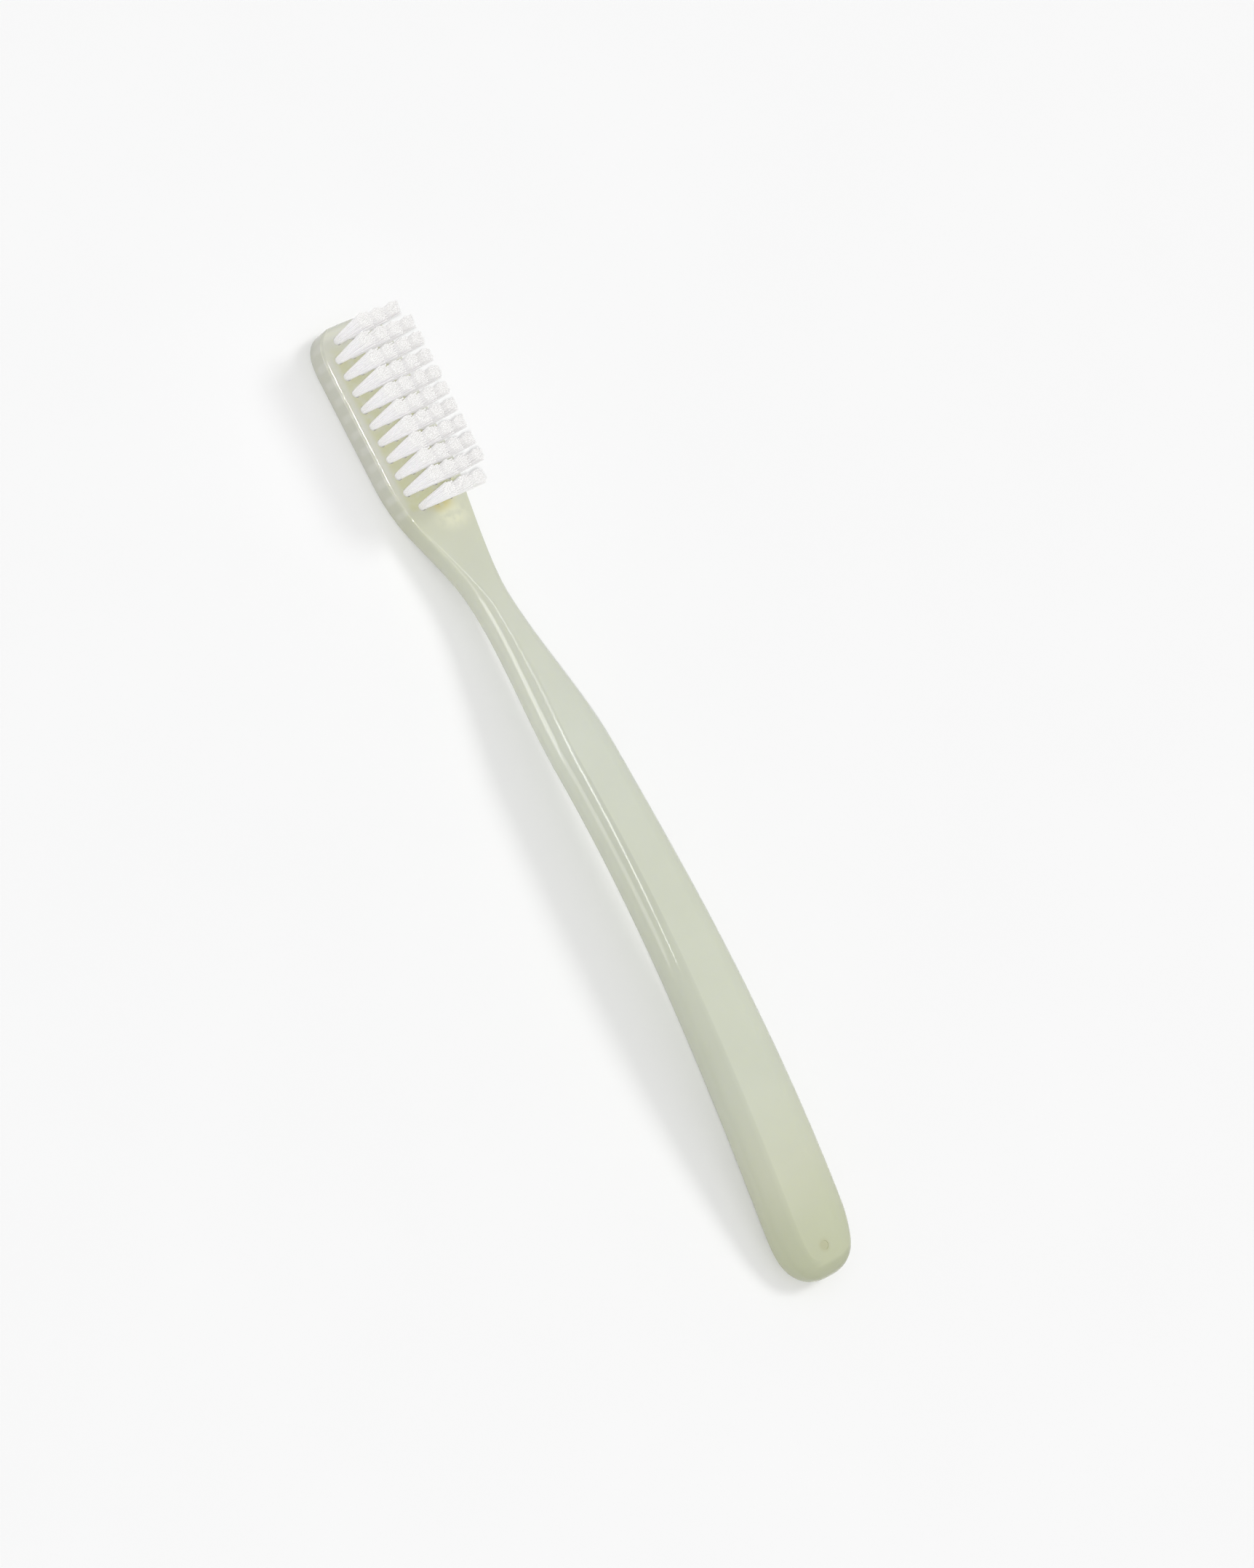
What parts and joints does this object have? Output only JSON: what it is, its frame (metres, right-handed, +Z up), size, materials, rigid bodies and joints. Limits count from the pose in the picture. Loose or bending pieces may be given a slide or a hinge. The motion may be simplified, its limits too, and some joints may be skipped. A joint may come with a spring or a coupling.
{
  "type": "toothbrush",
  "caption": "Manual toothbrush with a slim arched one-piece handle and staple-set white nylon tufts, lying on its back",
  "frame": {"origin": "under the middle of the brush, at the height of the surface that it lies on", "axes": "+X runs from the nose of the head to the tail of the handle, +Z points up through the bristles, and -Y is the side nearer to the viewer in the picture"},
  "size_m": [0.178, 0.0154, 0.0153],
  "materials": {
    "handle_plastic": "glossy moulded, milky sage green, slightly translucent",
    "bristle_nylon": "white nylon filament with a soft sheen",
    "anchor_brass": "cut from flat wire, satin"
  },
  "bodies": {
    "root": {"handle": "handle_plastic", "tuft_r01_c1": "bristle_nylon", "tuft_r01_c2": "bristle_nylon", "tuft_r01_c3": "bristle_nylon", "tuft_r02_c1": "bristle_nylon", "tuft_r02_c2": "bristle_nylon", "tuft_r02_c3": "bristle_nylon", "tuft_r02_c4": "bristle_nylon", "tuft_r03_c1": "bristle_nylon", "tuft_r03_c2": "bristle_nylon", "tuft_r03_c3": "bristle_nylon", "tuft_r03_c4": "bristle_nylon", "tuft_r04_c1": "bristle_nylon", "tuft_r04_c2": "bristle_nylon", "tuft_r04_c3": "bristle_nylon", "tuft_r04_c4": "bristle_nylon", "tuft_r05_c1": "bristle_nylon", "tuft_r05_c2": "bristle_nylon", "tuft_r05_c3": "bristle_nylon", "tuft_r05_c4": "bristle_nylon", "tuft_r06_c1": "bristle_nylon", "tuft_r06_c2": "bristle_nylon", "tuft_r06_c3": "bristle_nylon", "tuft_r06_c4": "bristle_nylon", "tuft_r07_c1": "bristle_nylon", "tuft_r07_c2": "bristle_nylon", "tuft_r07_c3": "bristle_nylon", "tuft_r07_c4": "bristle_nylon", "tuft_r08_c1": "bristle_nylon", "tuft_r08_c2": "bristle_nylon", "tuft_r08_c3": "bristle_nylon", "tuft_r08_c4": "bristle_nylon", "tuft_r09_c1": "bristle_nylon", "tuft_r09_c2": "bristle_nylon", "tuft_r09_c3": "bristle_nylon", "tuft_r09_c4": "bristle_nylon", "tuft_r10_c1": "bristle_nylon", "tuft_r10_c2": "bristle_nylon", "tuft_r10_c3": "bristle_nylon", "tuft_r10_c4": "bristle_nylon", "tuft_r11_c1": "bristle_nylon", "tuft_r11_c2": "bristle_nylon", "tuft_r11_c3": "bristle_nylon", "anchors_row_01": "anchor_brass", "anchors_row_02": "anchor_brass", "anchors_row_03": "anchor_brass", "anchors_row_04": "anchor_brass", "anchors_row_05": "anchor_brass", "anchors_row_06": "anchor_brass", "anchors_row_07": "anchor_brass", "anchors_row_08": "anchor_brass", "anchors_row_09": "anchor_brass", "anchors_row_10": "anchor_brass", "anchors_row_11": "anchor_brass"}
  },
  "joints": []
}
